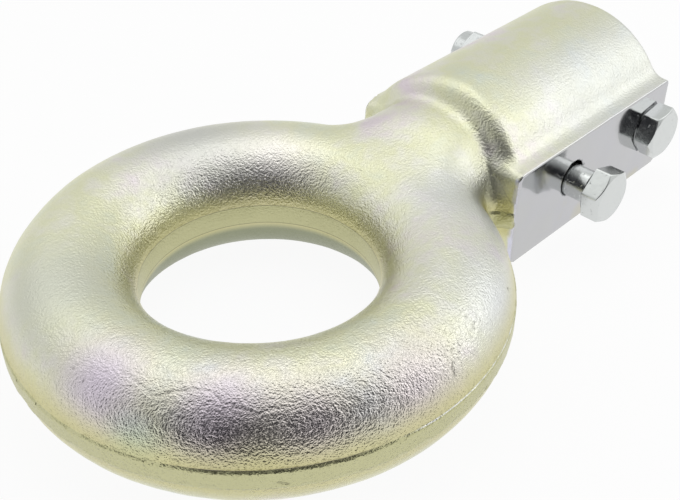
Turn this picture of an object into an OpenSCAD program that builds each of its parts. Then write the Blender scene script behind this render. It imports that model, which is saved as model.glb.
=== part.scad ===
// Drawbar towing eye: one steel forging with a ring, a neck and a socket that is open below,
// and two cross bolts with lock nuts. The origin is the centre of the ring. +X runs along the
// shank to the open end of the socket and +Z is up.

/* [Ring] */
// Diameter of the hole in the ring
hole_d = 76; // [68:1:84]
// Thickness of the ring's round bar between its trimmed edges
bar_d = 42; // [36:0.5:46]
// How far the round of the bar runs over the trimmed edges
crown = 0.3; // [0.15:0.05:0.5]
// Height of the band left where the forging flash was trimmed
flash_h = 6.4; // [4:0.2:8]
// How far that band stands out of the bar
flash_out = 0.4; // [0.3:0.05:0.8]

/* [Neck] */
// Radius of the neck where it meets the socket
neck_r = 30; // [28:0.5:32]
// Half angle of the ring that the neck grows out of
neck_spread = 22; // [19:1:26]
// Fullness of the curves between the ring and the socket
neck_full = 1.2; // [1:0.05:1.35]
// Width of the bare rim between the flare of the neck and the face of a pad
pad_rim = 1.4; // [0.8:0.1:2]
// Height above the middle at which the flare starts to lean back
flare_h = 8; // [4:0.5:12]

/* [Socket] */
// Distance from the ring's centre to the front of the socket
socket_front = 83.2; // [82:0.2:88]
// Length of the socket
socket_len = 94; // [88:1:110]
// Outside diameter of the arch
arch_d = 73.2; // [70:0.2:80]
// Diameter of the drawbar tube that the socket takes
tube_d = 50; // [45:1:54]
// How far the arch starts behind the front of the socket
arch_set = 5.8; // [4:0.2:8]
// Radius of the round front edge of the arch
arch_edge = 4.6; // [3:0.2:5]
// Radius of the round rear edge of the arch
rim_edge = 2; // [1:0.5:3]
// Thickness of the wall between the neck and the open socket
end_wall = 17; // [12:1:20]

/* [Pads] */
// Distance from the middle to the pad under the bolt heads
near_pad = 37.6; // [36:0.2:42]
// Distance from the middle to the pad on the nut side
far_pad = 33; // [31:0.2:35]
// Height of the top edge of the pads
pad_top = 17.9; // [15:0.1:20]
// Depth of the legs below the middle
leg_drop = 19; // [16:0.5:20]
// Radius of the corners of the pads
pad_corner = 3; // [1:0.5:4]
// Radius of the hollow between the arch and the ledge over the near pad
ledge_r = 4; // [2:0.5:5]

/* [Bolts] */
// Distance from the front of the socket to the front bolt
bolt_set = 33.6; // [30:0.2:38]
// Distance from the rear bolt to the rear end of the socket
rear_set = 10.4; // [9:0.2:14]
// Diameter of the bolts
bolt_d = 12; // [10:1:12]
// Diameter of the bolt holes
bolt_hole_d = 13.5; // [13.5:0.5:15]
// Height of the bolt holes above the middle
bolt_hole_z = 1.9; // [0:0.1:3]
// Length of the bolts below the head
bolt_len = 90; // [86:1:100]
// Slack that the nuts leave on the bolts
bolt_slack = 9.2; // [2:0.2:12]
// Width of the hexagons across their flats
hex_af = 18; // [17.6:0.2:19]
// Height of the bolt heads
head_h = 7.5; // [6:0.5:9]
// Height of the washer face under a head
washer_face = 0.6; // [0.4:0.1:0.8]

/* [Nuts] */
// Height of the lock nuts
nut_h = 12; // [11:0.5:14]
// Height of their hexagon
nut_hex_h = 7; // [6:0.5:8]
// Diameter of the collar that holds the locking ring
collar_d = 16.8; // [16:0.2:17.4]
// Thickness of the locking ring
insert_h = 2.6; // [2:0.2:3.2]

/* [Hidden] */
// Clearances, and small overlaps that join the solids of the forging
seat_gap = 0.05;
thread_gap = 0.05;
join = 0.4;
beyond = 5;
// Smoothness of true curves and of the neck
$fn = 96;
around = 72;
along = 12;
// Ring
ring_r = (hole_d + bar_d) / 2;
bar_r = bar_d / 2 + crown;
ring_out_r = ring_r + bar_d / 2;
// Socket
arch_r = arch_d / 2;
tube_r = tube_d / 2;
arch_front = socket_front + arch_set;
rear = socket_front + socket_len;
hollow_r = arch_r - neck_r - arch_edge;
// Pads
pad_w = near_pad + far_pad;
ledge_y = sqrt(pow(arch_r + ledge_r, 2) - pow(pad_top + ledge_r, 2));
// Bolts and nuts
bolt_z = bolt_hole_z - (bolt_hole_d - bolt_d) / 2 + seat_gap;
front_x = socket_front + bolt_set;
rear_x = rear - rear_set;
grip = pad_w + bolt_slack + 2 * seat_gap;
front_y = -near_pad - seat_gap - bolt_slack;
rear_y = -near_pad - seat_gap;
hex_r = hex_af / 2 / cos(30);
front_turn = 19;
rear_turn = 53;
nut_turn = 30;
// The neck below the middle: squareness of its section, how far its underside lies above that of
// the legs, and the share to which its hidden end shrinks inside the socket's end wall
side_power = 14;
neck_lift = 1;
neck_drop = leg_drop - neck_lift;
tail_share = 0.94;
// Chamfers of the hexagons, of the bolts' tips and of the collars
chamfer_tilt = 30;
chamfer_share = 0.95;
hex_chamfer = chamfer_share * hex_af / 2;
tip = 1;
// The locking ring's place in the collar: wall beside it and lip over it
collar_wall = 1.2;
collar_lip = 0.8;
seat_d = collar_d - 2 * collar_wall;
insert_z = nut_h - insert_h - collar_lip;
thread_d = bolt_d + 2 * thread_gap;

// Arc of a circle as points, from angle a to angle b
function arc(cx, cy, r, a, b, n = 12) =
    [for (i = [0:n]) [cx + r * cos(a + (b - a) * i / n), cy + r * sin(a + (b - a) * i / n)]];

function unit(v) = v / norm(v);

// Where the neck leaves the ring: an oval drawn on the bar, from its side at t = 0 over its
// crest at t = 90 to the other side at t = 180 and back underneath
function oval_turn(t) = neck_spread * cos(t);
function oval_tilt(t) = 90 * sin(t);

// A point of the bar, turned by a round the ring and by b round the bar
function bar_point(a, b, r) =
    [(ring_r + r * cos(b)) * cos(a), (ring_r + r * cos(b)) * sin(a), r * sin(b)];

// Direction along the skin of the bar from that oval towards its middle
function bar_way(a, b) = unit(
    -a * (ring_r + bar_r * cos(b)) * [-sin(a), cos(a), 0]
    - b * bar_r * [-sin(b) * cos(a), -sin(b) * sin(a), cos(b)]);

// Radius of the neck's section at its socket end: a half round top over straight sides
function section_r(t) = sin(t) >= 0 ? neck_r : pow(
    pow(abs(cos(t)) / neck_r, side_power) + pow(abs(sin(t)) / neck_drop, side_power),
    -1 / side_power);
function end_point(t) = [arch_front, section_r(t) * cos(t), section_r(t) * sin(t)];

// Smooth curve that leaves p along u and reaches q along v, both pulls m long
function blend(p, u, q, v, m, s) =
    p * (2 * pow(s, 3) - 3 * pow(s, 2) + 1) + u * m * (pow(s, 3) - 2 * pow(s, 2) + s)
    + q * (3 * pow(s, 2) - 2 * pow(s, 3)) + v * m * (pow(s, 3) - pow(s, 2));

function neck_point(t, s) =
    let (a = oval_turn(t), b = oval_tilt(t))
    let (p = bar_point(a, b, bar_r - join), q = end_point(t))
    blend(p, bar_way(a, b), q, [1, 0, 0], neck_full * norm(q - p), s);

// One round forged bar bent to a ring, with its trimmed band and the trimmed edge of its hole
module ring() {
    difference() {
        union() {
            rotate_extrude($fn = 180)
                translate([ring_r, 0])
                    circle(r = bar_r);
            translate([0, 0, -flash_h / 2])
                cylinder(r = ring_out_r + flash_out, h = flash_h, $fn = 180);
        }
        translate([0, 0, -bar_d])
            cylinder(d = hole_d, h = 2 * bar_d, $fn = 180);
    }
}

// The neck, lofted from the oval on the ring to the front of the socket
module neck() {
    steps = [for (i = [0:around - 1]) 360 * i / around];
    skin = [for (j = [0:along]) for (t = steps) neck_point(t, j / along)];
    tail = [
        for (t = steps)
            [arch_front + arch_edge, tail_share * end_point(t)[1], tail_share * end_point(t)[2]]
    ];
    last = (along + 1) * around;
    front = [[ring_r, 0, 0]];
    back = [[arch_front + arch_edge, 0, 0]];
    sides = [
        for (j = [0:along]) for (i = [0:around - 1])
            let (k = (i + 1) % around, a = j * around, b = a + around)
            each [[a + i, b + i, a + k], [a + k, b + i, b + k]]
    ];
    caps = [
        for (i = [0:around - 1])
            let (k = (i + 1) % around)
            each [[last + around, i, k], [last + around + 1, last + k, last + i]]
    ];
    polyhedron(concat(skin, tail, front, back), concat(sides, caps));
}

// Flare of the neck's straight sides, at 45 degrees in plan, to the front edges of the pads
module neck_flare() {
    near = near_pad - pad_rim - neck_r;
    far = far_pad - pad_rim - neck_r;
    intersection() {
        translate([0, 0, -leg_drop])
            linear_extrude(leg_drop + pad_top)
                polygon([
                    [socket_front - near, -neck_r],
                    [socket_front + join, -neck_r - near - join],
                    [socket_front + join, neck_r + far + join],
                    [socket_front - far, neck_r]
                ]);
        translate([0, near_pad + far_pad, 0])
            rotate([90, 0, 0])
                linear_extrude(2 * (near_pad + far_pad))
                    polygon([
                        [socket_front - near, -neck_drop],
                        [socket_front + join, -neck_drop],
                        [socket_front + join, pad_top - pad_corner],
                        [socket_front - near, flare_h]
                    ]);
    }
}

// Arch of the socket, turned about the shank, with a round step up from the neck
module arch() {
    profile = concat(
        [[0, arch_front - hollow_r - join], [neck_r - join, arch_front - hollow_r - join]],
        arc(neck_r + hollow_r, arch_front - hollow_r, hollow_r, 180, 90, 6),
        arc(arch_r - arch_edge, arch_front + arch_edge, arch_edge, -90, 0, 8),
        arc(arch_r - rim_edge, rear - rim_edge, rim_edge, 0, 90, 6),
        [[0, rear]]);
    rotate([0, 90, 0])
        rotate([0, 0, 90])
            rotate_extrude(angle = 180, $fn = 180)
                polygon(profile);
}

// Outline of a machined pad, seen square on
module pad_outline() {
    x0 = socket_front + pad_corner;
    x1 = rear - pad_corner;
    z0 = -leg_drop + pad_corner;
    z1 = pad_top - pad_corner;
    polygon(concat(
        arc(x1, z1, pad_corner, 0, 90, 6),
        arc(x0, z1, pad_corner, 90, 180, 6),
        arc(x0, z0, pad_corner, 180, 270, 6),
        arc(x1, z0, pad_corner, 270, 360, 6)));
}

// The two legs with their pads, in one block that the socket is cut out of
module legs() {
    translate([0, far_pad, 0])
        rotate([90, 0, 0])
            linear_extrude(pad_w)
                pad_outline();
}

// Hollow between the arch and the ledge over the near pad
module ledge_hollow() {
    reach = arch_r / (arch_r + ledge_r);
    translate([arch_front, 0, 0])
        rotate([90, 0, 90])
            linear_extrude(rear - arch_front - rim_edge)
                difference() {
                    polygon([
                        [0, 0],
                        [-ledge_y, 0],
                        [-ledge_y, pad_top],
                        [-ledge_y * reach, (pad_top + ledge_r) * reach]
                    ]);
                    translate([-ledge_y, pad_top + ledge_r])
                        circle(r = ledge_r);
                }
}

// What the drawbar tube takes up, open below and to the rear
module tube_space() {
    x0 = socket_front + end_wall;
    translate([x0, 0, 0])
        rotate([0, 90, 0])
            cylinder(r = tube_r, h = rear - x0 + beyond, $fn = 180);
    translate([x0, -tube_r, -leg_drop - beyond])
        cube([rear - x0 + beyond, tube_d, leg_drop + beyond]);
}

// The nut side is milled flat below the top of its pad
module far_side_cut() {
    translate([socket_front - beyond, far_pad, -leg_drop - beyond])
        cube([socket_len + 2 * beyond, arch_r, leg_drop + pad_top + beyond]);
}

module cross_hole(x) {
    translate([x, far_pad + beyond, bolt_hole_z])
        rotate([90, 0, 0])
            cylinder(d = bolt_hole_d, h = pad_w + 2 * beyond);
}

module towing_eye() {
    color([0.80, 0.80, 0.70])
        difference() {
            union() {
                ring();
                neck();
                neck_flare();
                difference() {
                    union() {
                        arch();
                        legs();
                        ledge_hollow();
                    }
                    far_side_cut();
                }
            }
            tube_space();
            cross_hole(front_x);
            cross_hole(rear_x);
            translate([0, 0, -bar_d])
                cylinder(d = hole_d, h = 2 * bar_d, $fn = 180);
        }
}

// Hexagon h high with its outer corners chamfered
module hexagon(h) {
    intersection() {
        cylinder(r = hex_r, h = h, $fn = 6);
        cylinder(r1 = hex_chamfer + h / tan(chamfer_tilt), r2 = hex_chamfer, h = h);
    }
}

// Bolt along +Y, with its head at -Y and the underside of its head at y = 0
module bolt(turn) {
    rotate([90, turn, 0])
        translate([0, 0, washer_face])
            hexagon(head_h - washer_face);
    rotate([90, 0, 0])
        cylinder(r = hex_chamfer, h = washer_face + seat_gap);
    rotate([-90, 0, 0]) {
        cylinder(d = bolt_d, h = bolt_len - tip);
        translate([0, 0, bolt_len - tip])
            cylinder(d1 = bolt_d, d2 = bolt_d - 2 * tip, h = tip);
    }
}

// Lock nut along +Y, with its seat at y = 0 and its collar outwards
module lock_nut() {
    rotate([-90, nut_turn, 0])
        difference() {
            union() {
                hexagon(nut_hex_h);
                cylinder(d = collar_d, h = nut_h - tip);
                translate([0, 0, nut_h - tip])
                    cylinder(d1 = collar_d, d2 = collar_d - 2 * tip, h = tip);
            }
            translate([0, 0, -beyond])
                cylinder(d = thread_d, h = nut_h + 2 * beyond);
            translate([0, 0, insert_z])
                cylinder(d = seat_d, h = insert_h + beyond);
        }
}

// Locking ring inside the collar of a nut
module lock_ring() {
    rotate([-90, 0, 0])
        translate([0, 0, insert_z + seat_gap])
            difference() {
                cylinder(d = seat_d - 2 * seat_gap, h = insert_h);
                translate([0, 0, -beyond])
                    cylinder(d = thread_d, h = insert_h + 2 * beyond);
            }
}

module front_bolt() {
    color([0.78, 0.80, 0.82])
        translate([front_x, front_y, bolt_z])
            bolt(front_turn);
}

module rear_bolt() {
    color([0.78, 0.80, 0.82])
        translate([rear_x, rear_y, bolt_z])
            bolt(rear_turn);
}

module front_nut() {
    color([0.76, 0.78, 0.80])
        translate([front_x, front_y + grip, bolt_z])
            lock_nut();
}

module rear_nut() {
    color([0.76, 0.78, 0.80])
        translate([rear_x, rear_y + grip, bolt_z])
            lock_nut();
}

module front_nut_insert() {
    color([0.95, 0.95, 0.93])
        translate([front_x, front_y + grip, bolt_z])
            lock_ring();
}

module rear_nut_insert() {
    color([0.95, 0.95, 0.93])
        translate([rear_x, rear_y + grip, bolt_z])
            lock_ring();
}

towing_eye();
front_bolt();
rear_bolt();
front_nut();
rear_nut();
front_nut_insert();
rear_nut_insert();
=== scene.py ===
# %% [markdown]
# A drawbar towing eye is one heavy steel forging: a ring for the hook of the towing vehicle, a
# neck, and a socket for the drawbar tube, held by two cross bolts. The solids were made to size
# beforehand. This lesson gives each piece its skin and its finish, and sets up the picture.

# %% Load the frame
import math
import bpy
import bmesh
import numpy as np
from mathutils import Matrix, Vector


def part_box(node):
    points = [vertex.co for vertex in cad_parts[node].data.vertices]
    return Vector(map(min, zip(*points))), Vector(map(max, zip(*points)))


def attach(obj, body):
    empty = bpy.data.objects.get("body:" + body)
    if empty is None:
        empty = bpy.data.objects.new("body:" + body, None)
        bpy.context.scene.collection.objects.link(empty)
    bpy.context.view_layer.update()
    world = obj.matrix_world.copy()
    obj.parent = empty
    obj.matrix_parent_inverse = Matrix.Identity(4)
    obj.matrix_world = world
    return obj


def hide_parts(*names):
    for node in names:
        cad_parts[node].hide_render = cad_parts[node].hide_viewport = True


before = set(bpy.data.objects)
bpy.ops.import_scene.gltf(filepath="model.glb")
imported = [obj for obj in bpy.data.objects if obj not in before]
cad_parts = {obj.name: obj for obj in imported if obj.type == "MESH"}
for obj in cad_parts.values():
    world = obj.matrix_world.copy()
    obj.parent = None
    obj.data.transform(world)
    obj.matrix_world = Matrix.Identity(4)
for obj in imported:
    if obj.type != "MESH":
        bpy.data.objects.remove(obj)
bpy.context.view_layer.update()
MM = 0.001
print("nodes:", ", ".join(sorted(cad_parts)))

# %% [markdown]
# The camera comes first, because everything else is judged through it. The photograph looks down
# on the ring from its far end. The place of the camera and its lens were found by fitting the
# round outlines of the ring, so they are written here as real distances from the ring's centre.

# %% Camera
CAMERA_PLACE = Vector((-0.1735, -0.2054, 0.2210))
CAMERA_AIM = Vector((0.0304, -0.0057, 0.0))
CAMERA_ROLL = math.radians(-0.13)
CAMERA_LENS = 57.9


def make_camera():
    """A camera at CAMERA_PLACE that looks at CAMERA_AIM and leans by CAMERA_ROLL."""
    camera = bpy.data.objects.new("camera", bpy.data.cameras.new("camera"))
    bpy.context.scene.collection.objects.link(camera)
    camera.data.lens = CAMERA_LENS
    camera.data.sensor_width = 36.0
    camera.data.clip_start = 0.01
    camera.data.clip_end = 50.0
    turn = (CAMERA_AIM - CAMERA_PLACE).to_track_quat("-Z", "Y").to_matrix().to_4x4()
    camera.matrix_world = Matrix.Translation(CAMERA_PLACE) @ turn @ Matrix.Rotation(CAMERA_ROLL, 4, "Z")
    bpy.context.scene.camera = camera
    return camera


make_camera()
print("camera to ring centre:", round(CAMERA_PLACE.length, 3), "m")

# %% [markdown]
# The forging could be put together from a torus, a tube and a box, but their joints would show as
# hard creases, and a forging has none: hot steel fills the die in soft hollows. So its skin is the
# zero level of a distance formula. Each simple form gives how far a point lies outside it, and a
# smooth minimum of two such distances melts them together with a hollow of a chosen radius.

# %% Distances to simple forms
def smooth_min(a, b, k):
    """The smaller of two distances, rounded where they are closer than k: a hollow between forms."""
    h = np.maximum(k - np.abs(a - b), 0.0) / k
    return np.minimum(a, b) - h * h * k * 0.25


def smooth_max(a, b, k):
    """The larger of two distances, rounded where they are closer than k: a worn edge on a cut."""
    return -smooth_min(-a, -b, k)


def rounded_box(x, y, x0, x1, y0, y1, r):
    """Distance to a flat rectangle with corners of radius r: the length of what sticks out."""
    dx = np.abs(x - (x0 + x1) / 2) - (x1 - x0) / 2 + r
    dy = np.abs(y - (y0 + y1) / 2) - (y1 - y0) / 2 + r
    out = np.hypot(np.maximum(dx, 0.0), np.maximum(dy, 0.0))
    return out + np.minimum(np.maximum(dx, dy), 0.0) - r


def ease(t):
    """Goes from 0 to 1 as t does, level at both ends."""
    t = np.clip(t, 0.0, 1.0)
    return t * t * (3.0 - 2.0 * t)


corner_fill = -float(smooth_min(np.zeros(1), np.zeros(1), 4.0)[0])
print("two flat forms melted with k = 4 mm stand out", corner_fill, "mm in their corner")

# %% [markdown]
# The sizes of the forging, in millimetres, are those of the solid it dresses. The angle and the
# radius of each hollow were judged against the photograph.

# %% Sizes of the forging
HOLE_R = 38.0
BAR_R = 21.3
RING_R = 59.0
FLASH_R = 80.4
FLASH_HALF = 3.2
FLASH_OUT = 0.35
NECK_R = 30.0
NECK_DROP = 18.0
ROOF_END = 88.0
ROOF_TOP = 29.7
ROOF_FALL = 0.0125
COVE_HOLLOW = 10.5
SOCKET_FRONT = 83.2
SOCKET_REAR = 177.2
ARCH_R = 36.6
ARCH_FRONT = 89.4
ARCH_LEAN = 0.22
ARCH_EDGE = 4.6
NEAR_PAD = 37.6
FAR_PAD = 33.0
PAD_TOP = 17.9
LEG_DROP = 19.0
PAD_CORNER = 3.0
MILLED_OFF = 1.6
TUBE_R = 25.0
TUBE_START = 100.2
BOLT_X = (116.8, 166.8)
HOLE_Z = 1.9
CROSS_HOLE_R = 6.75
print("ring across:", 2 * FLASH_R, "mm, bar:", 2 * BAR_R, "mm thick")

# %% [markdown]
# The ring is a round bar bent to a circle. Round its outside runs a narrow band: the two halves of
# the die met there, and the steel that was squeezed out between them was trimmed off.

# %% Ring
def ring_distance(x, y, z):
    """Distance to a round bar bent to a ring, with the band where the flash was trimmed off."""
    rho = np.hypot(x, y)
    bar = np.hypot(rho - RING_R, z) - BAR_R
    band = rounded_box(rho, z, RING_R, FLASH_R, -FLASH_HALF, FLASH_HALF, 0.3)
    return smooth_min(bar, band, 0.4)


# %% [markdown]
# The neck is a half round top over straight sides. Near the ring a roof that sinks like a parabola
# cuts it down to the height of the bar, which leaves the two flat-looking flanks of the photograph.

# %% Neck
def neck_distance(x, y, z):
    """Distance to the neck: the larger of the distances to its sides, its roof and its two ends."""
    top = np.hypot(y, z) - NECK_R
    below = smooth_max(np.abs(y) - NECK_R, -NECK_DROP - z, 5.0)
    side = np.where(z > 0.0, top, below)
    sink = ROOF_FALL * np.maximum(ROOF_END - x, 0.0) ** 2
    roof = (z - ROOF_TOP + sink + 0.004 * y * y) * 0.9
    ends = np.maximum(52.0 - x, x - ARCH_FRONT - ARCH_EDGE)
    return smooth_max(smooth_max(side, roof, 4.0), ends, 2.0)


# %% [markdown]
# The socket is half a tube on top of two flat legs. Its pads are milled flat for the bolt heads and
# the nuts, its cross holes are drilled, and its inside is bored: these are the only true surfaces,
# so they are cut out last, with nearly sharp edges.

# %% Socket
def arch_distance(x, y, z):
    """Distance to the half round arch, whose round front edge leans forward."""
    rho = np.hypot(y, z)
    lean = ARCH_LEAN * (z - ARCH_R)
    front = rounded_box(x - lean, rho, ARCH_FRONT, SOCKET_REAR + 60.0, -ARCH_R, ARCH_R, ARCH_EDGE)
    return np.maximum(front, -z)


def legs_distance(x, y, z):
    """Distance to the block of the two legs, before their pads are milled."""
    outline = rounded_box(x, z, SOCKET_FRONT, SOCKET_REAR + 40.0, -LEG_DROP, PAD_TOP, PAD_CORNER)
    sides = np.maximum(y - FAR_PAD, -NEAR_PAD - y) - MILLED_OFF
    return np.maximum(outline, sides)


def forging_distance(x, y, z):
    """Distance to the whole forging: its forms melted together, then what was machined away."""
    hollow = 3.0 + 5.0 * ease(np.abs(z) / 18.0)
    body = smooth_min(ring_distance(x, y, z), neck_distance(x, y, z), hollow)
    cove = 3.0 + (COVE_HOLLOW - 3.0) * ease((15.0 - np.abs(z)) / 9.0)
    body = smooth_min(body, legs_distance(x, y, z), cove)
    body = smooth_min(body, arch_distance(x, y, z), 4.0)
    band = smooth_max(body - FLASH_OUT * ease((x - 64.0) / 8.0), np.abs(z) - FLASH_HALF, 0.4)
    body = smooth_min(body, band, 0.3)
    body = smooth_max(body, x - SOCKET_REAR, 2.4)
    body = np.maximum(body, -BAR_R - z)
    below_top = z - PAD_TOP
    behind = SOCKET_FRONT - 0.5 - x
    near_cut = np.maximum(np.maximum(y + NEAR_PAD, below_top), behind)
    far_cut = np.maximum(np.maximum(FAR_PAD - y, below_top), behind)
    body = smooth_max(body, -near_cut, 0.8)
    body = smooth_max(body, -far_cut, 0.8)
    tube = np.maximum(np.hypot(y, z) - TUBE_R, TUBE_START - x)
    mouth = np.maximum(np.maximum(np.abs(y) - TUBE_R, z), TUBE_START - x)
    body = smooth_max(body, -np.minimum(tube, mouth), 1.0)
    for hole_x in BOLT_X:
        hole = np.hypot(x - hole_x, z - HOLE_Z) - CROSS_HOLE_R
        body = smooth_max(body, -hole, 0.4)
    return smooth_max(body, HOLE_R - np.hypot(x, y), 0.6)


centre_gap = float(forging_distance(*np.zeros((3, 1)))[0])
print("a point at the ring's centre lies", round(centre_gap, 1), "mm outside the skin")

# %% [markdown]
# A forging is never quite even. The die wears, scale is hammered in and leaves pits, and the metal
# folds over itself in short creases. These are real hollows, so they are made in the skin and not
# painted on it. They start from random hills, which are worked out from whole numbers instead of
# being drawn from a generator, so that they are the same in every run.

# %% Random hills
def hills(p, size, seed):
    """Soft hills from -1 to 1, about size apart: random numbers on a lattice, eased between corners."""
    q = p / size + 1000.0
    cell = np.floor(q).astype(np.int64)
    t = ease(q - cell)
    total = np.zeros(len(p))
    for corner in range(8):
        step = np.array([corner & 1, (corner >> 1) & 1, corner >> 2])
        key = ((cell + step) * (73856093, 19349663, 83492791)).sum(axis=1) + seed * 7919
        value = np.modf(np.abs(np.sin((key % 1000003) * 0.012345)) * 43758.5453)[0]
        total += np.where(step, t, 1.0 - t).prod(axis=1) * value
    return 2.0 * total - 1.0


# %% [markdown]
# The larger scars lie where the photograph shows them. Each is a short line on the ring. Its places
# are pairs of angles in degrees, one round the ring and one round its bar, followed by the radius
# and the depth of the hollow; a depth below nought is a raised streak. Three patches carry many
# small pits and two wide ones shallow folds. Along the front the skin lapped over the flash line,
# which leaves a thin groove just above the trimmed band; the shader paints shade along it as a thin
# dark line. Where the lap ends, and round the edges of the hole, trimming left a burr.

# %% Scars of the forging
SCARS = (
    (((-87.5, 40), (-88.5, 36), (-88.5, 31)), 0.55, 0.26),
    (((-57, 31), (-57.2, 30)), 0.6, 0.30),
    (((-79, -5), (-80, -9)), 1.0, 0.35),
    (((-129, -2), (-127, -5)), 0.8, 0.35),
    (((-153.5, 57), (-151, 62.5), (-147.5, 65.5), (-144.5, 68)), 0.6, 0.20),
    (((-144.5, 68), (-142, 65), (-139.5, 59), (-136, 55.5), (-132.5, 51), (-128.5, 55)), 0.6, 0.11),
    (((-164, 65), (-160, 63), (-155.5, 58)), 0.6, 0.10),
    (((-116, 48), (-115, 34.5), (-114.5, 17)), 0.6, -0.10),
    (((-127.5, 44), (-126, 37)), 0.6, -0.20),
)
PIT_PATCHES = (((-76, 50), 7.0), ((-86, 45), 5.0), ((-174, 50), 6.0))
PIT_SIZE = 1.2
PIT_DEPTH = 0.20
FOLD_PATCHES = (((-140, 60), 26.0), ((-98, 54), 20.0))
FOLD_DEPTH = 0.17
FOLD_HALF = 0.16
LAP_Z = 3.7
LAP_HALF = 0.5
LAP_DEPTH = 0.09
LAP_FROM, LAP_TO = -152.0, -106.0
BURR = 0.10
BURR_END = -58.0
BURR_HALF = 0.45
HOLE_EDGE = 3.56


def on_ring(turn, tilt):
    """The place on the ring's bar at an angle round the ring and an angle round the bar."""
    turn, tilt = math.radians(turn), math.radians(tilt)
    rho = RING_R + BAR_R * math.cos(tilt)
    return np.array([rho * math.cos(turn), rho * math.sin(turn), BAR_R * math.sin(tilt)])


def far_from_line(p, places):
    """Distance from each point to a line through the places: the least to any of its straight bits."""
    far = np.full(len(p), 1e9)
    for a, b in zip(places[:-1], places[1:]):
        along = np.clip((p - a) @ (b - a) / ((b - a) @ (b - a)), 0.0, 1.0)
        far = np.minimum(far, np.linalg.norm(p - a - along[:, None] * (b - a), axis=1))
    return far


def ring_turn(p):
    """Angle of each point round the ring, in degrees."""
    return np.degrees(np.arctan2(p[:, 1], p[:, 0]))


def outer_half(p):
    """0 inside the middle line of the ring's bar and 1 from 8 mm outside it."""
    return ease((np.hypot(p[:, 0], p[:, 1]) - RING_R) / 8.0)


# %% [markdown]
# Each kind of scar is a share from 0 to 1 times a depth. A share is a product of soft steps: one
# across the line and others that let it fade at its ends.

# %% Depth of the scars
def lap_share(p):
    """1 along the front of the ring, where the skin lapped over the flash line."""
    turn = ring_turn(p)
    return outer_half(p) * ease((turn - LAP_FROM) / 12.0) * ease((LAP_TO - turn) / 10.0)


def lap_line(p, spread=0.0):
    """Share of the lap's groove: the lap's own share, times a soft step across its line."""
    return lap_share(p) * ease(1.0 - np.abs(p[:, 2] - LAP_Z) / (LAP_HALF + spread))


def burr_share(p):
    """1 beside the lap, on the outside of the ring, and 0 elsewhere."""
    turn = ring_turn(p)
    return outer_half(p) * ease((turn - LAP_TO) / 8.0) * ease((BURR_END - turn) / 8.0)


def burr_height(p, spread=0.0):
    """Height of the burr on the flash line beside the lap and on both edges of the hole."""
    rho = np.hypot(p[:, 0], p[:, 1])
    line = burr_share(p) * ease(1.0 - np.abs(p[:, 2] - FLASH_HALF) / (BURR_HALF + spread))
    edge = ease(1.0 - np.abs(np.abs(p[:, 2]) - HOLE_EDGE) / (BURR_HALF + spread))
    edge = edge * ease((HOLE_R + 1.0 - rho) / 0.8)
    return BURR * np.maximum(line, edge)


def in_patches(p, patches, gain):
    """Share of round patches on the ring, each 0 from its radius on; a gain widens its middle."""
    total = np.zeros(len(p))
    for place, radius in patches:
        total += ease(gain * (1.0 - np.linalg.norm(p - on_ring(*place), axis=1) / radius))
    return total


def pit_depth(p, spread):
    """Depth of the pits: the tops of tiny hills, within the pit patches."""
    pits = ease((hills(p, PIT_SIZE, 7) - 0.40 + spread) / 0.3)
    return PIT_DEPTH * pits * in_patches(p, PIT_PATCHES, 1.6)


def fold_depth(p, spread):
    """Depth of the folds: thin hollows where a sum of hills passes through nought, in patches."""
    height = hills(p, 5.0, 10) + 0.4 * hills(p, 1.8, 11)
    folds = ease(1.0 - np.abs(height) / (FOLD_HALF + 0.15 * spread))
    return FOLD_DEPTH * folds * (0.5 + 0.5 * hills(p, 7.0, 12)) * in_patches(p, FOLD_PATCHES, 1.4)


def scar_depth(p, spread=0.0):
    """Depth of all scars at each point; a spread widens them, to find the squares round them."""
    depth = LAP_DEPTH * lap_line(p, spread) * (0.65 + 0.35 * hills(p, 2.2, 5))
    depth = depth - burr_height(p, spread) * (0.6 + 0.4 * hills(p, 1.8, 6))
    for places, radius, deep in SCARS:
        far = far_from_line(p, [on_ring(*place) for place in places])
        share = ease(1.0 - far / (radius + spread))
        depth = depth + share * (deep - depth)
    return depth + pit_depth(p, spread) + fold_depth(p, spread)


print("scars:", len(SCARS), "lines,", len(PIT_PATCHES) + len(FOLD_PATCHES), "patches, a lap and burrs")

# %% [markdown]
# The formula says where the skin is, but not how to cover it with faces. Blender's voxel remesh
# covers the plain solid with even small squares, and then every corner is moved onto the formula's
# skin: a few Newton steps, each as long as the distance there and straight down its slope.

# %% Skin of the forging
GRID = 1.45


def slope(f, p, h=0.02):
    """Slope of a distance at each point, from its values h to either side along x, y and z."""
    g = np.empty_like(p)
    for axis in range(3):
        step = np.zeros(3)
        step[axis] = h
        g[:, axis] = (f(*(p + step).T) - f(*(p - step).T)) / (2 * h)
    return g


def onto_skin(f, p, steps=6):
    """Moves points onto the zero level of f: each step goes f down the slope of f."""
    for _ in range(steps):
        g = slope(f, p)
        size = np.maximum((g * g).sum(axis=1, keepdims=True), 0.05)
        move = f(*p.T)[:, None] * g / size
        p = p - np.clip(move, -1.5, 1.5)
    return p


def even_mesh(node, name):
    """A copy of a node's solid, merged and remeshed to even squares of GRID."""
    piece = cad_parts[node].copy()
    piece.data = piece.data.copy()
    piece.name = name
    bpy.context.scene.collection.objects.link(piece)
    bm = bmesh.new()
    bm.from_mesh(piece.data)
    bmesh.ops.remove_doubles(bm, verts=bm.verts, dist=1e-6)
    bm.to_mesh(piece.data)
    bm.free()
    remesh = piece.modifiers.new("even", "REMESH")
    remesh.mode = "VOXEL"
    remesh.voxel_size = GRID * MM
    graph = bpy.context.evaluated_depsgraph_get()
    mesh = bpy.data.meshes.new_from_object(piece.evaluated_get(graph))
    piece.modifiers.clear()
    piece.data = mesh
    return piece


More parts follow.
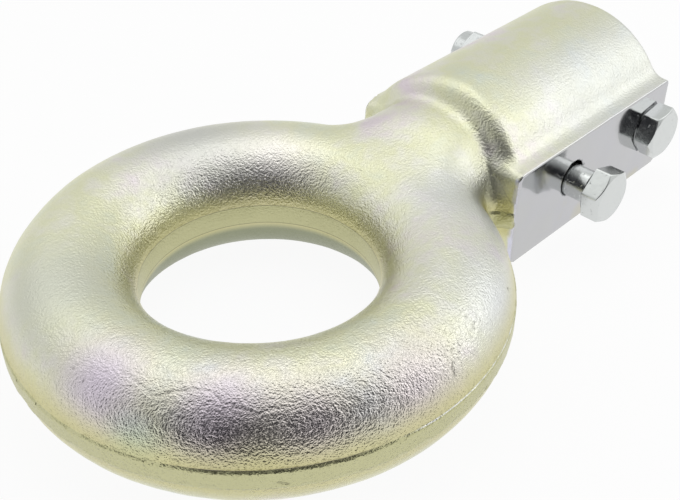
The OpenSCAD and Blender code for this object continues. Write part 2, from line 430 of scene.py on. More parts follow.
skin = even_mesh("towing_eye", "eye_skin")


def read_corners(mesh):
    """The corners of a mesh in millimetres, one row each."""
    flat = np.empty(len(mesh.vertices) * 3)
    mesh.vertices.foreach_get("co", flat)
    return flat.reshape(-1, 3) / MM


def write_corners(mesh, p):
    """Puts corners in millimetres back into a mesh."""
    mesh.vertices.foreach_set("co", (p * MM).ravel())
    mesh.update()


write_corners(skin.data, onto_skin(forging_distance, read_corners(skin.data)))
print("even skin:", len(skin.data.vertices), "corners,", len(skin.data.polygons), "faces")

# %% [markdown]
# Squares of this size are too coarse for the edges of the milled pads, for the holes and for the
# scars. A finer grid everywhere would be heavy, so only the squares over which the skin turns
# sharply, or which lie on a scar, are cut into nine, and their new corners move onto the skin too.

# %% Finer squares
TURN_LIMIT = math.cos(math.radians(20))


def finer_squares(piece, f, scars):
    """Cuts in nine each square that turns by more than the limit or that carries a scar."""
    mesh = piece.data
    corners = read_corners(mesh)
    normal = slope(f, corners)
    normal /= np.linalg.norm(normal, axis=1, keepdims=True)
    around = np.empty(len(mesh.loops), dtype=np.int32)
    mesh.loops.foreach_get("vertex_index", around)
    around = around.reshape(-1, 4)
    likeness = (normal[around[:, 0]] * normal[around[:, 2]]).sum(axis=1)
    likeness = np.minimum(likeness, (normal[around[:, 1]] * normal[around[:, 3]]).sum(axis=1))
    scarred = np.abs(scars(corners[around].mean(axis=1), GRID)) > 0.01
    chosen = np.nonzero((likeness < TURN_LIMIT) | scarred)[0]
    bm = bmesh.new()
    bm.from_mesh(mesh)
    bm.faces.ensure_lookup_table()
    edges = {edge for index in chosen for edge in bm.faces[index].edges}
    bmesh.ops.subdivide_edges(bm, edges=list(edges), cuts=2, use_grid_fill=True)
    bm.to_mesh(mesh)
    bm.free()
    write_corners(mesh, onto_skin(f, read_corners(mesh)))
    return len(chosen)


cut_squares = finer_squares(skin, forging_distance, scar_depth)
skin.data.shade_smooth()
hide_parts("towing_eye")
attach(skin, "root")
print("squares cut in nine:", cut_squares, "| faces now:", len(skin.data.polygons))

# %% [markdown]
# Besides its scars the whole skin waves and peels by a few hundredths of a millimetre, more on the
# front of the ring, which is the rougher side in the photograph. The milled pads, the bores and the
# flat on which it stands stay true.

# %% Relief of the forging
WAVE = 0.10
WRINKLE = 0.035
LEAST_ROUGH = 0.28
HOLE_ROUGH = 0.42


def rough_share(x, y):
    """How rough the skin is: most at the front of the ring, least at the back and on the socket."""
    front = ease((5.0 - 0.5 * x - 0.8 * y) / 70.0) * ease((95.0 - x) / 30.0)
    return LEAST_ROUGH + (1.0 - LEAST_ROUGH) * front


def hole_share(x, y, z):
    """How rough the upper slope of the hole is: fully so within 44 mm of its axis."""
    slope_in = ease((58.0 - np.hypot(x, y)) / 14.0) * ease((z - 3.0) / 5.0)
    return LEAST_ROUGH + HOLE_ROUGH * slope_in


def relief(p, rough):
    """How far each corner moves out: slow waves, and a peel that grows with rough."""
    out = WAVE * hills(p, 17.0, 1) + 0.5 * WAVE * hills(p, 8.0, 2)
    return out + WRINKLE * (0.5 + rough) * hills(p, 3.6, 3)


def true_surface(x, y, z):
    """1 on what is milled or bored and 0 on the forged skin, with a short step between them."""
    in_socket = ease((x - SOCKET_FRONT + 0.6) / 0.4) * ease((PAD_TOP + 0.5 - z) / 0.4)
    pads = np.minimum(np.abs(y + NEAR_PAD), np.abs(y - FAR_PAD))
    holes = np.abs(np.hypot(x - BOLT_X[0], z - HOLE_Z) - CROSS_HOLE_R)
    holes = np.minimum(holes, np.abs(np.hypot(x - BOLT_X[1], z - HOLE_Z) - CROSS_HOLE_R))
    tube = np.where(x > TUBE_START - 1.0, np.hypot(y, np.maximum(z, 0.0)) - TUBE_R, 9.0)
    near = np.minimum(np.minimum(pads, holes), np.maximum(tube, 0.0))
    return in_socket * (1.0 - ease((near - 0.1) / 0.5))


# %% [markdown]
# Moving the corners along their normals makes the relief. The shader can't know what was milled or
# where a scar lies, so that is stored at the corners too, as one number from 0 to 1 for each.

# %% Moving the skin
def write_attribute(mesh, name, values):
    """Stores one number at each corner, for the shader to read by name."""
    stored = mesh.attributes.new(name, "FLOAT", "POINT")
    stored.data.foreach_set("value", values.astype(np.float32))


def store_shares(mesh, p, milled, rough, scars):
    """Stores at each corner how milled or rough the skin is, the painted shade in its scars, and its
    lines and rim.
    """
    x, y, z = p.T
    # Painted shade in the scars: darker where a scar is deeper than 0.08 mm, apart from the lap's
    # groove.
    scar_shade = (scars - LAP_DEPTH * lap_line(p) - 0.08) / 0.4
    rim = ease(1.6 - np.abs(x - SOCKET_FRONT) / 0.5) * ease((-y - 35.6) / 0.5)
    write_attribute(mesh, "milled", milled)
    write_attribute(mesh, "rough", rough * (1.0 - 0.8 * lap_line(p, 0.4)))
    write_attribute(mesh, "scar_shade", np.clip(scar_shade, 0.0, 0.7))
    write_attribute(mesh, "lap", lap_share(p) * (0.75 + 0.25 * hills(p, 3.0, 8)))
    write_attribute(mesh, "burr", burr_share(p) * np.clip(0.6 + 0.6 * hills(p, 2.0, 9), 0.0, 1.0))
    write_attribute(mesh, "hole_edge", 0.5 * ease((RING_R - np.hypot(x, y)) / 5.0))
    write_attribute(mesh, "rim", rim * ease((PAD_TOP - z) / 2.0))


def dress_skin(mesh):
    """Moves each corner along its normal by relief and scars, and stores what the shader needs."""
    p = read_corners(mesh)
    x, y, z = p.T
    milled = true_surface(x, y, z)
    rough = np.maximum(rough_share(x, y), hole_share(x, y, z))
    scars = scar_depth(p)
    normal = slope(forging_distance, p)
    normal /= np.linalg.norm(normal, axis=1, keepdims=True)
    left_over = np.abs(forging_distance(x, y, z)).max()
    out = (relief(p, rough) - scars) * (1.0 - milled)
    out = np.where(z < 3.0 - BAR_R, 0.0, out)
    write_corners(mesh, p + normal * out[:, None])
    store_shares(mesh, p, milled, rough, scars)
    return left_over, np.abs(out).max()


left_over, moved = dress_skin(skin.data)
print("left over:", round(float(left_over), 3), "mm, relief:", round(float(moved), 2), "mm at most")

# %% [markdown]
# Bolts, nuts and locking rings are all round an axis, so each is one grid of corners: a profile of
# rows, turned through the columns. A hexagon is a radius too: half the width across its flats over
# the cosine of the angle from the middle of a flat. The smaller of that and a cone gives the curved
# chamfer lines of a real bolt head, and a radius that swings with angle and height gives a thread.
# Columns stand closer together near the six corners, so that those stay crisp.

# %% Turned pieces
HALF_FLAT = 12


def six_sided(turn):
    """Angles of the columns with a corner at turn, and how far each lies from its flat's middle."""
    step = np.linspace(-1.0, 1.0, 2 * HALF_FLAT, endpoint=False)
    off = math.radians(30.0) * np.sin(step * math.pi / 2)
    middle = np.radians(60.0 * np.arange(6) + 30.0)
    return (middle[:, None] + off).ravel() + turn, np.tile(off, 6)


def turned(name, place, angle, radius, height, loop):
    """A closed piece about +Y from rows of radius and height; loop joins its last row to its first."""
    radius, height = np.broadcast_arrays(radius, height)
    rows, columns = radius.shape
    corners = np.stack([radius * np.cos(angle), height, radius * np.sin(angle)], axis=-1).reshape(-1, 3)
    index = np.arange(rows * columns).reshape(rows, columns)
    ahead = np.roll(index, -1, axis=0) if loop else index[1:]
    start = index if loop else index[:-1]
    faces = np.stack([start, ahead, np.roll(ahead, -1, axis=1), np.roll(start, -1, axis=1)], axis=-1)
    faces = faces.reshape(-1, 4).tolist()
    if not loop:
        faces += [index[0].tolist(), index[-1][::-1].tolist()]
    mesh = bpy.data.meshes.new(name)
    mesh.from_pydata(((corners + place) * MM).tolist(), [], faces)
    mesh.shade_smooth()
    piece = bpy.data.objects.new(name, mesh)
    bpy.context.scene.collection.objects.link(piece)
    return piece


def axis_place(node, height):
    """The point on a node's axis at a height in millimetres, from the middle of its box."""
    low, high = np.array(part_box(node)) / MM
    return np.array([(low[0] + high[0]) / 2, height, (low[2] + high[2]) / 2])


def corner_turn(node, place):
    """Angle of a hexagon's corner about its axis: that of the corner of the solid farthest from it."""
    p = read_corners(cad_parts[node].data) - place
    far = p[np.argmax(np.hypot(p[:, 0], p[:, 2]))]
    return math.atan2(far[2], far[0])


print("columns of a turned piece:", 12 * HALF_FLAT)

# %% [markdown]
# The bolts are M12 and 90 mm long, with a coarse thread of 1.75 mm pitch. All sizes are in
# millimetres, and the place and the turn of each piece are read from the solid that it replaces.

# %% Sizes of the bolts and nuts
HEX_HALF = 9.0
HEX_FACE = 8.55
HEX_SLOPE = 1.0 / math.tan(math.radians(30))
HEAD_H = 7.5
WASHER_FACE = 0.6
BOLT_R = 6.0
BOLT_LEN = 90.0
THREAD_START = 60.0
PITCH = 1.75
THREAD_DEPTH = 1.05
NUT_H = 12.0
NUT_HEX_H = 7.0
NUT_BORE_R = 6.05
COLLAR_R = 8.4
SEAT_R = 7.2
SEAT_START = 8.6
RING_GAP = 0.05
RING_H = 2.6


def hexagon(off):
    """Radius of a hexagon at each column, with corners worn by about a tenth of a millimetre."""
    return smooth_min(HEX_HALF / np.cos(off), HEX_HALF / math.cos(math.radians(30)) - 0.10, 0.25)


def stack_rows(parts, columns):
    """Joins parts of a profile: each is a pair of radius and height, widened to all the columns."""
    wide = [np.broadcast_arrays(r, h, np.zeros((1, columns)))[:2] for r, h in parts]
    return np.vstack([r for r, _ in wide]), np.vstack([h for _, h in wide])


# %% [markdown]
# The bolt's profile starts in the middle of the head's face, which is knocked about a little, and
# runs over the chamfered hexagon, the washer face and the plain shank to the thread and its tip.

# %% Bolts
def down(*values):
    """The values as one column, a row of the profile for each."""
    return np.array(values, dtype=float)[:, None]


def thread_radius(angle, height):
    """Radius of a right-handed thread: a clipped zigzag in height plus the share of a turn."""
    phase = height / PITCH + angle / (2 * math.pi)
    groove = 1.0 - np.abs(2.0 * (phase - np.floor(phase)) - 1.0)
    groove = np.clip(1.3 * groove - 0.2, 0.0, 1.0)
    return BOLT_R - THREAD_DEPTH * groove * ease((height - THREAD_START) / 4.0)


def make_bolt(node, seed):
    """A bolt in the place of a node: face, hexagon, washer face, shank, thread and tip."""
    place = axis_place(node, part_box(node)[1][1] / MM - BOLT_LEN)
    angle, off = six_sided(corner_turn(node, place))
    flat = hexagon(off)
    face_r = np.linspace(0.3, HEX_FACE - 0.2, 28)[:, None]
    spots = np.broadcast_arrays(face_r * np.cos(angle), seed * 50.0, face_r * np.sin(angle))
    shape, spots = spots[0].shape, np.stack(spots, -1).reshape(-1, 3)
    knocks = 0.10 * ease((hills(spots, 1.1, seed) - 0.45) / 0.4).reshape(shape)
    knocks = knocks * ease(face_r - 0.3) + 0.04 * hills(spots, 3.5, seed).reshape(shape)
    side = np.concatenate([np.linspace(0.03, 1.3, 20), np.linspace(1.9, 6.5, 6), [6.78, 6.87]])[:, None]
    thread = np.arange(THREAD_START, BOLT_LEN - 0.02, PITCH / 10)[:, None]
    parts = [
        (face_r, -HEAD_H + np.maximum(knocks, 0.0)),
        (smooth_min(flat, HEX_FACE + side * HEX_SLOPE, 0.15), side - HEAD_H),
        (flat - down(0.04, 0.3), -WASHER_FACE),
        (down(HEX_FACE + 0.1, HEX_FACE, HEX_FACE, HEX_FACE - 0.08), down(-0.6, -0.52, -0.08, 0.0)),
        (down(6.7, 6.5, 6.2, 6.05, BOLT_R), down(0.0, 0.02, 0.14, 0.36, 0.7)),
        (BOLT_R, down(1.0, 20.0, 40.0, THREAD_START - 1.0)),
        (np.minimum(thread_radius(angle, thread), BOLT_R - (thread - BOLT_LEN + 1.0)), thread),
        (down(4.9, 4.4, 0.3), BOLT_LEN),
    ]
    bolt = turned(node + "_dressed", place, angle, *stack_rows(parts, len(angle)), loop=False)
    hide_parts(node)
    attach(bolt, "root")
    return bolt


bolts = [make_bolt("front_bolt", 3), make_bolt("rear_bolt", 4)]
print("faces of a bolt:", len(bolts[0].data.polygons))

# %% [markdown]
# A lock nut is a hexagon with a round collar that holds a nylon ring. The collar's edge is rolled
# over the ring. The profile is a loop: over the seat, up the flats, round the collar, down into the
# ring's seat and back through the bore.

# %% Nuts and locking rings
def make_nut(node):
    """A lock nut in the place of a node, with its seat at the low end of its box along y."""
    place = axis_place(node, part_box(node)[0][1] / MM)
    angle, off = six_sided(corner_turn(node, place))
    low = np.concatenate([np.linspace(0.0, 1.3, 16), np.linspace(2.0, 5.0, 3)])[:, None]
    high = np.linspace(5.6, NUT_HEX_H, 18)[:, None]
    roll = np.radians(np.arange(0, 91, 10))[:, None]
    parts = [
        (down(6.7, HEX_FACE - 0.2), 0.0),
        (smooth_min(hexagon(off), HEX_FACE + low * HEX_SLOPE, 0.15), low),
        (smooth_min(hexagon(off), HEX_FACE + 0.1 + (NUT_HEX_H - high) * HEX_SLOPE, 0.15), high),
        (down(COLLAR_R + 0.05, COLLAR_R), down(NUT_HEX_H + 0.04, NUT_HEX_H + 0.2)),
        (COLLAR_R - 1.0 + np.cos(roll), NUT_H - 1.0 + np.sin(roll)),
        (down(SEAT_R + 0.05, SEAT_R, SEAT_R), down(NUT_H - 0.02, NUT_H - 0.15, SEAT_START)),
        (down(NUT_BORE_R + 0.1, NUT_BORE_R, NUT_BORE_R), down(SEAT_START, SEAT_START - 0.1, 0.7)),
    ]
    nut = turned(node + "_dressed", place, angle, *stack_rows(parts, len(angle)), loop=True)
    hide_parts(node)
    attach(nut, "root")
    return nut


def make_ring(node, nut):
    """The nylon ring in the collar of a nut: a loop with softly rounded corners."""
    place = axis_place(node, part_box(nut)[0][1] / MM)
    angle = six_sided(0.0)[0]
    turn = np.linspace(0.0, 2 * math.pi, 48, endpoint=False)[:, None]
    wide, tall = (SEAT_R - RING_GAP - NUT_BORE_R) / 2, RING_H / 2
    corner = (np.abs(np.cos(turn)) ** 6 + np.abs(np.sin(turn)) ** 6) ** (-1 / 6)
    radius = NUT_BORE_R + wide + wide * corner * np.cos(turn)
    height = SEAT_START + RING_GAP + tall + tall * corner * np.sin(turn)
    rows = stack_rows([(radius, height)], len(angle))
    ring = turned(node + "_dressed", place, angle, *rows, loop=True)
    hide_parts(node)
    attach(ring, "root")
    return ring


nuts = [make_nut("front_nut"), make_nut("rear_nut")]
rings = [make_ring("front_nut_insert", "front_nut"), make_ring("rear_nut_insert", "rear_nut")]
print("faces of a nut:", len(nuts[0].data.polygons), "and of its ring:", len(rings[0].data.polygons))

# %% [markdown]
# Bright metal has hardly a colour of its own: it shows what stands around it. So the studio is part
# of the finish. A pale dome lies over a white floor, and the room is darker on the side where the
# camera stands, as it is in a real studio. That dark side is what draws the shaded band along the
# front of the ring. A large soft lamp overhead draws the bright ridge above it.

# %% Building a shader
def add(tree, kind, sockets=None, **settings):
    """Adds one shader node: settings are its own choices, sockets are values or links it takes in."""
    made = tree.nodes.new("ShaderNode" + kind)
    for key, value in settings.items():
        setattr(made, key, value)
    for key, value in (sockets or {}).items():
        if isinstance(value, bpy.types.NodeSocket):
            tree.links.new(value, made.inputs[key])
        else:
            made.inputs[key].default_value = value
    return made


def maths(tree, operation, a, b=0.0, c=0.0, clamp=False):
    """One step of arithmetic in a shader."""
    return add(tree, "Math", {0: a, 1: b, 2: c}, operation=operation, use_clamp=clamp).outputs[0]


def smooth_step(tree, value, low, high):
    """0 below low and 1 above high, with a smooth rise between them."""
    sockets = {"Value": value, "From Min": low, "From Max": high}
    return add(tree, "MapRange", sockets, interpolation_type="SMOOTHSTEP").outputs["Result"]


def new_material(name):
    """A material with an empty shader tree."""
    mat = bpy.data.materials.new(name)
    mat.use_nodes = True
    mat.node_tree.nodes.clear()
    return mat, mat.node_tree


# %% Studio world
DOME_COLOR = (0.74, 0.75, 0.74, 1.0)
DARK_COLOR = (0.02, 0.02, 0.025, 1.0)
DARK_AZIMUTH = math.radians(-41)
DARK_HEIGHT = math.radians(15)
DARK_STRETCH = 1.35
DARK_INNER = math.cos(math.radians(36))
DARK_OUTER = math.cos(math.radians(68))


def make_world():
    """A dome of DOME_COLOR that fades to DARK_COLOR round one direction."""
    world = bpy.data.worlds.new("studio")
    bpy.context.scene.world = world
    world.use_nodes = True
    tree = world.node_tree
    tree.nodes.clear()
    flat = math.cos(DARK_HEIGHT)
    dark_way = (flat * math.sin(DARK_AZIMUTH), -flat * math.cos(DARK_AZIMUTH), math.sin(DARK_HEIGHT))
    way = add(tree, "TexCoord").outputs["Generated"]
    squash = {0: way, 1: (1.0, 1.0, DARK_STRETCH)}
    way = add(tree, "VectorMath", squash, operation="MULTIPLY").outputs[0]
    way = add(tree, "VectorMath", {0: way}, operation="NORMALIZE").outputs[0]
    toward = add(tree, "VectorMath", {0: way, 1: dark_way}, operation="DOT_PRODUCT").outputs["Value"]
    dark = smooth_step(tree, toward, DARK_OUTER, DARK_INNER)
    color = add(tree, "Mix", {0: dark, 6: DOME_COLOR, 7: DARK_COLOR}, data_type="RGBA").outputs[2]
    light = add(tree, "Background", {"Color": color, "Strength": 1.0}).outputs[0]
    add(tree, "OutputWorld", {"Surface": light})
    return world


make_world()
print("world: dark towards azimuth", round(math.degrees(DARK_AZIMUTH)), "degrees")

# %% [markdown]
# Three square soft lamps add the highlights. They stand well away from the metal and are wide, so
# that their reflections have no hard edge. Each is an azimuth and a height in degrees, and watts.

# %% Soft lamps
LAMP_AIM = Vector((0.05, 0.0, 0.0))
LAMP_FAR = 0.85
LAMP_SIZE = 0.6
RIGHT_LAMP = (52, 32, 1.05)
LEFT_LAMP = (-165, 48, 0.45)
TOP_LAMP = (120, 78, 0.95)


def make_lamp(name, azimuth, height, watts):
    """A square soft lamp LAMP_FAR from the object, at an azimuth and a height in degrees."""
    lamp = bpy.data.objects.new(name, bpy.data.lights.new(name, "AREA"))
    bpy.context.scene.collection.objects.link(lamp)
    lamp.data.size = LAMP_SIZE
    lamp.data.energy = watts
    turn, rise = math.radians(azimuth), math.radians(height)
    way = Vector((math.cos(rise) * math.sin(turn), -math.cos(rise) * math.cos(turn), math.sin(rise)))
    facing = (-way).to_track_quat("-Z", "Y").to_matrix().to_4x4()
    lamp.matrix_world = Matrix.Translation(LAMP_AIM + LAMP_FAR * way) @ facing
    return lamp


make_lamp("right_lamp", *RIGHT_LAMP)
make_lamp("left_lamp", *LEFT_LAMP)
make_lamp("top_lamp", *TOP_LAMP)
print("lamps:", len(bpy.data.lights))

# %% [markdown]
# The part lies on white paper. To be white in the picture without more light on the metal, the
# paper glows for rays from the camera and for those mirrored in metal, and keeps its own shadow.

# %% Floor
FLOOR_COLOR = (0.95, 0.95, 0.95, 1.0)
FLOOR_GLOW = 0.93


def floor_paper():
    """White paper that the camera and the metal see near pure white, with its shadow kept."""
    mat, tree = new_material("floor_paper")
    path = add(tree, "LightPath")
    seen = maths(tree, "ADD", path.outputs["Is Camera Ray"], path.outputs["Is Glossy Ray"])
    seen = maths(tree, "ADD", seen, path.outputs["Is Transmission Ray"], clamp=True)
    share = maths(tree, "MULTIPLY", seen, FLOOR_GLOW)
    paper = add(tree, "BsdfDiffuse", {"Color": FLOOR_COLOR}).outputs[0]
    white = add(tree, "Emission", {"Color": (1, 1, 1, 1), "Strength": 1.0}).outputs[0]
    both = add(tree, "MixShader", {0: share, 1: paper, 2: white}).outputs[0]
    add(tree, "OutputMaterial", {"Surface": both})
    return mat


def make_floor():
    """A wide pale floor just under the ring."""
    floor_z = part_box("towing_eye")[0][2]
    bpy.ops.mesh.primitive_plane_add(size=20.0, location=(0.0, 0.0, floor_z))
    floor = bpy.context.object
    floor.name = "floor"
    floor.data.materials.append(floor_paper())
    return floor


make_floor()
bpy.context.scene.view_settings.view_transform = "Standard"

# %% [markdown]
# The forging is zinc plated and then passivated. The clear film on top is so thin that it colours
# the light: mostly a greenish straw yellow, in places lilac or a watery blue. Its thickness changes
# slowly over the piece, so a soft noise in the object's own space drives a ramp of film colours,
# and wide soft patches of lilac, teal and paler tints lie where the photograph shows them. Two of
# the patches are painted light and not film: a dark lilac grey one is painted shade that deepens
# the shaded band on the front of the ring, and a near white one on the inner slope of the ring near
# the neck is a painted highlight. The patches are named like the scars: two angles on the ring, a
# radius in millimetres and a colour.

# %% Colours of the forging
FILM_COLORS = (
    (0.30, (0.68, 0.74, 0.72, 1.0)),
    (0.41, (0.74, 0.76, 0.60, 1.0)),
    (0.50, (0.77, 0.77, 0.55, 1.0)),
    (0.59, (0.79, 0.78, 0.66, 1.0)),
    (0.70, (0.78, 0.70, 0.74, 1.0)),
)
LILAC = (0.76, 0.68, 0.78, 1.0)
# Painted shade: a dark patch that deepens the shaded band on the front of the ring.
BAND_SHADE = (0.55, 0.49, 0.53, 1.0)
# Painted highlight: a near white patch on the inner slope of the ring near the neck.
PAINTED_HIGHLIGHT = (0.95, 0.90, 0.88, 1.0)
ROSE = (0.77, 0.70, 0.71, 1.0)
TEAL = (0.60, 0.74, 0.68, 1.0)
OLIVE = (0.60, 0.58, 0.38, 1.0)
PALE = (0.75, 0.76, 0.75, 1.0)
MOSS = (0.66, 0.67, 0.57, 1.0)
HAZE = (0.66, 0.66, 0.62, 1.0)
PATCHES = (
    ((-168, 52), 24.0, LILAC),
    ((-140, 50), 24.0, LILAC),
    ((-138, 34), 19.0, BAND_SHADE),
    ((45, 146), 30.0, PAINTED_HIGHLIGHT),
    ((-157, 14), 13.0, TEAL),
    ((-128, 14), 19.0, OLIVE),
    ((-98, 36), 28.0, ROSE),
    ((-121, 38), 24.0, ROSE),
    ((-64, 36), 34.0, PALE),
    ((-28, 62), 30.0, PALE),
    ((70, 90), 40.0, HAZE),
    ((158, 80), 36.0, MOSS),
)
# Painted shade: the dark colour low inside the hole, on the ring's underside.
UNDER_SHADE_COLOR = (0.32, 0.34, 0.23, 1.0)
LAND_COLOR = (0.56, 0.55, 0.32, 1.0)
NEAR_LAND_COLOR = (0.62, 0.58, 0.28, 1.0)
# Painted shade: the dark colour of the thin lines along the lap and the hole's edges, and of the deeper
# scars.
PAINTED_SHADE_COLOR = (0.10, 0.09, 0.08, 1.0)
# Painted highlight: the bright colour of the thin line along the burr.
BURR_HIGHLIGHT_COLOR = (0.95, 0.95, 0.92, 1.0)
RIM_COLOR = (0.72, 0.72, 0.84, 1.0)
MILLED_COLORS = (
    (0.30, (0.56, 0.54, 0.43, 1.0)),
    (0.45, (0.53, 0.53, 0.55, 1.0)),
    (0.75, (0.54, 0.54, 0.53, 1.0)),
)
print("patches of film:", len(PATCHES))


# %% Film on the forging
PATCH_NOISE = 26.0
CLOUD_NOISE = 150.0
LINE_HALF = 0.22


def mix(tree, share, a, b):
    """The colour a, with a share of the colour b."""
    return add(tree, "Mix", {0: share, 6: a, 7: b}, data_type="RGBA").outputs[2]


def ramp(tree, value, stops):
    """A ramp of colours: each stop is a place from 0 to 1 and a colour."""
    made = add(tree, "ValToRGB", {"Fac": value})
    line = made.color_ramp.elements
    while len(line) < len(stops):
        line.new(0.5)
    for stop, (place, color) in zip(line, stops):
        stop.position = place
        stop.color = color
    return made.outputs["Color"]


def noise(tree, place, scale, detail=2.0, rough=0.5):
    """Soft random hills with about scale of them per metre."""
    sockets = {"Vector": place, "Scale": scale, "Detail": detail, "Roughness": rough}
    return add(tree, "TexNoise", sockets).outputs["Fac"]


def patch(tree, place, where, radius):
    """1 at a place on the ring, falling softly to 0 at a radius in millimetres."""
    centre = tuple(on_ring(*where) * MM)
    far = add(tree, "VectorMath", {0: place, 1: centre}, operation="DISTANCE").outputs["Value"]
    return smooth_step(tree, far, radius * MM, 0.0)


def share_of(tree, name):
    """The number from 0 to 1 that the skin's corners store under a name."""
    return add(tree, "Attribute", attribute_name=name).outputs["Fac"]


def arch_share(tree, along):
    """Share of the paler film: up to 0.75 on the near side of the arch."""
    pale = smooth_step(tree, along["Y"], 0.002, -0.020)
    pale = maths(tree, "MULTIPLY", pale, smooth_step(tree, along["X"], 0.085, 0.130))
    return maths(tree, "MULTIPLY", pale, 0.75)


def film_bands(tree, film, along, height):
    """Bands of the eye by height: yellow near the middle, painted shade low in the hole, and the land.
    """
    on_eye = smooth_step(tree, along["X"], 0.098, 0.088)
    near_land = maths(tree, "MULTIPLY", smooth_step(tree, height, 0.014, 0.004), 0.8)
    across = maths(tree, "MULTIPLY", along["X"], along["X"])
    across = maths(tree, "MULTIPLY_ADD", along["Y"], along["Y"], across)
    in_hole = smooth_step(tree, across, 0.062 ** 2, 0.052 ** 2)
    under = maths(tree, "MULTIPLY", smooth_step(tree, along["Z"], -0.003, -0.007), in_hole)
    land = smooth_step(tree, height, 0.0038, 0.0034)
    for share, color in ((near_land, NEAR_LAND_COLOR), (under, UNDER_SHADE_COLOR), (land, LAND_COLOR)):
        film = mix(tree, maths(tree, "MULTIPLY", share, on_eye), film, color)
    return film


def film_lines(tree, film, along, height):
    """Thin level lines: painted shade along the lap, a painted highlight on the burr beside it, and
    painted shade on the edges of the hole.
    """
    lines = (
        ("lap", along["Z"], LAP_Z, PAINTED_SHADE_COLOR),
        ("burr", along["Z"], FLASH_HALF + 0.2, BURR_HIGHLIGHT_COLOR),
        ("hole_edge", height, HOLE_EDGE, PAINTED_SHADE_COLOR),
    )
    for name, level, middle, color in lines:
        off = maths(tree, "ABSOLUTE", maths(tree, "SUBTRACT", level, middle * MM))
        line = smooth_step(tree, off, LINE_HALF * MM, 0.3 * LINE_HALF * MM)
        film = mix(tree, maths(tree, "MULTIPLY", line, share_of(tree, name)), film, color)
    return film


def film_color(tree, place):
    """Colour of the film: a slow ramp, then patches, the arch, bands, lines, the rim and painted shade
    in the scars.
    """
    thick = maths(tree, "MULTIPLY", noise(tree, place, PATCH_NOISE), 0.7)
    thick = maths(tree, "MULTIPLY_ADD", noise(tree, place, CLOUD_NOISE), 0.3, thick)
    film = ramp(tree, thick, FILM_COLORS)
    for where, radius, color in PATCHES:
        film = mix(tree, patch(tree, place, where, radius), film, color)
    along = add(tree, "SeparateXYZ", {0: place}).outputs
    height = maths(tree, "ABSOLUTE", along["Z"])
    film = mix(tree, arch_share(tree, along), film, PALE)
    film = film_bands(tree, film, along, height)
    film = film_lines(tree, film, along, height)
    film = mix(tree, share_of(tree, "rim"), film, RIM_COLOR)
    # Painted shade in the deeper scars.
    return mix(tree, share_of(tree, "scar_shade"), film, PAINTED_SHADE_COLOR)


# %% [markdown]
# Under the film the skin is that of a hot forging, an orange peel whose grains are about half a
# millimetre wide. They are too small for faces, so they are a bump: a Voronoi pattern gives packed
# grains with sharp valleys, and two soft noises make them uneven. The milled faces have none of it:
# they are smooth and sway only a little, as a face does that was milled and then plated.

# %% Forged zinc
GRAINS = 1900.0
WAVES = 520.0
FINE = 1300.0
PEEL_DEPTH = 0.00016
SWAY_DEPTH = 0.0006


def grains(tree, place, scale):
    """Height of packed grains with sharp valleys between them, about scale of them per metre."""
    far = add(tree, "TexVoronoi", {"Vector": place, "Scale": scale}).outputs["Distance"]
    return maths(tree, "SUBTRACT", 1.0, far)


def bump(tree, height, depth):
    """Normal of a bump: a height from 0 to 1 times a depth in metres."""
    return add(tree, "Bump", {"Height": height, "Strength": 1.0, "Distance": depth}).outputs[0]


def peel_bump(tree, place, rough):
    """Normal of the orange peel: coarse grains where it is rough, and fine grains everywhere."""
    coarse = maths(tree, "MULTIPLY", rough, 0.75)
    coarse = maths(tree, "MULTIPLY", grains(tree, place, GRAINS), coarse)
    waves = maths(tree, "MULTIPLY", noise(tree, place, WAVES), maths(tree, "MULTIPLY", rough, 1.2))
    fine = maths(tree, "ADD", maths(tree, "MULTIPLY", rough, 0.6), 1.2)
    fine = maths(tree, "MULTIPLY", noise(tree, place, FINE), fine)
    peel = maths(tree, "ADD", maths(tree, "ADD", coarse, waves), fine)
    return bump(tree, peel, PEEL_DEPTH)


def uneven_gloss(tree, place, scale, low, high):
    """Roughness that wanders from low to high, with about scale hills per metre."""
    sockets = {"Value": noise(tree, place, scale), "To Min": low, "To Max": high}
    return add(tree, "MapRange", sockets).outputs[0]


def metal(tree, color, gloss, normal):
    """Bare metal of a colour, a roughness and a bump."""
    sockets = {"Base Color": color, "Metallic": 1.0, "Roughness": gloss, "Normal": normal}
    return add(tree, "BsdfPrincipled", sockets).outputs[0]


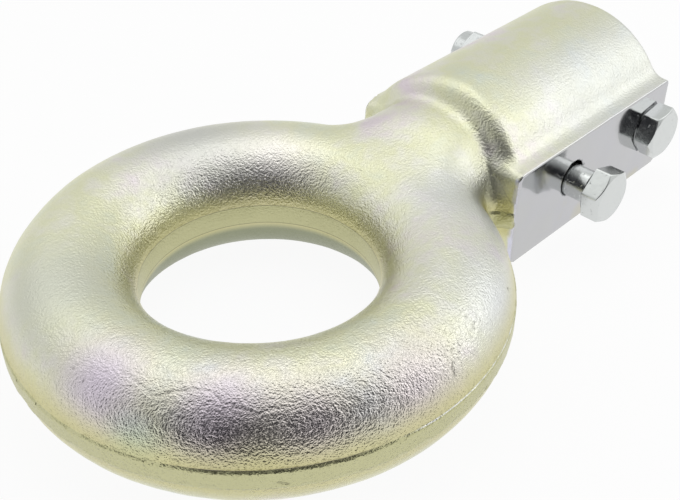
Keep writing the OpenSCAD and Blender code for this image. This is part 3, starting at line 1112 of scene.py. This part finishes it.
def forged_zinc():
    """Passivated zinc on forged steel: film colour, uneven gloss, orange peel and milled faces."""
    mat, tree = new_material("forged_zinc")
    place = add(tree, "TexCoord").outputs["Object"]
    rough = share_of(tree, "rough")
    gloss = uneven_gloss(tree, place, 90.0, 0.38, 0.50)
    gloss = maths(tree, "SUBTRACT", gloss, maths(tree, "MULTIPLY", rough, 0.16))
    forged = metal(tree, film_color(tree, place), gloss, peel_bump(tree, place, rough))
    tint = ramp(tree, noise(tree, place, 45.0), MILLED_COLORS)
    milled = metal(tree, tint, 0.12, bump(tree, noise(tree, place, 40.0), SWAY_DEPTH))
    both = add(tree, "MixShader", {0: share_of(tree, "milled"), 1: forged, 2: milled}).outputs[0]
    add(tree, "OutputMaterial", {"Surface": both})
    return mat


# %% [markdown]
# The bolts and nuts are bright blue zinc: almost no colour, a higher gloss, and small knocks from
# the tumbling drum in which such small parts are plated. The locking rings are natural nylon.

# %% Bright zinc and nylon
KNOCK_DEPTH = 0.00008
NYLON_COLORS = ((0.3, (0.80, 0.80, 0.76, 1.0)), (0.7, (0.88, 0.88, 0.85, 1.0)))


def bright_zinc(name, color):
    """Bright zinc on small parts: a little uneven in gloss, with shallow knocks."""
    mat, tree = new_material(name)
    place = add(tree, "TexCoord").outputs["Object"]
    gloss = uneven_gloss(tree, place, 300.0, 0.14, 0.30)
    knocks = smooth_step(tree, noise(tree, place, 900.0, 1.0), 0.66, 0.78)
    height = maths(tree, "MULTIPLY", noise(tree, place, 400.0), 0.6)
    height = maths(tree, "SUBTRACT", height, knocks)
    zinc = metal(tree, color, gloss, bump(tree, height, KNOCK_DEPTH))
    add(tree, "OutputMaterial", {"Surface": zinc})
    return mat


def nylon():
    """Natural nylon: off white, dull, with a faint unevenness in its colour."""
    mat, tree = new_material("nylon")
    place = add(tree, "TexCoord").outputs["Object"]
    color = ramp(tree, noise(tree, place, 500.0), NYLON_COLORS)
    plastic = add(tree, "BsdfPrincipled", {"Base Color": color, "Roughness": 0.45}).outputs[0]
    add(tree, "OutputMaterial", {"Surface": plastic})
    return mat


# %% Putting the materials on
def finish_with(pieces, mat):
    """Gives each piece one material and no other."""
    for piece in pieces:
        piece.data.materials.clear()
        piece.data.materials.append(mat)


finish_with([skin], forged_zinc())
finish_with(bolts, bright_zinc("bolt_zinc", (0.66, 0.68, 0.67, 1.0)))
finish_with(nuts, bright_zinc("nut_zinc", (0.68, 0.70, 0.70, 1.0)))
finish_with(rings, nylon())
print("materials:", len(bpy.data.materials))
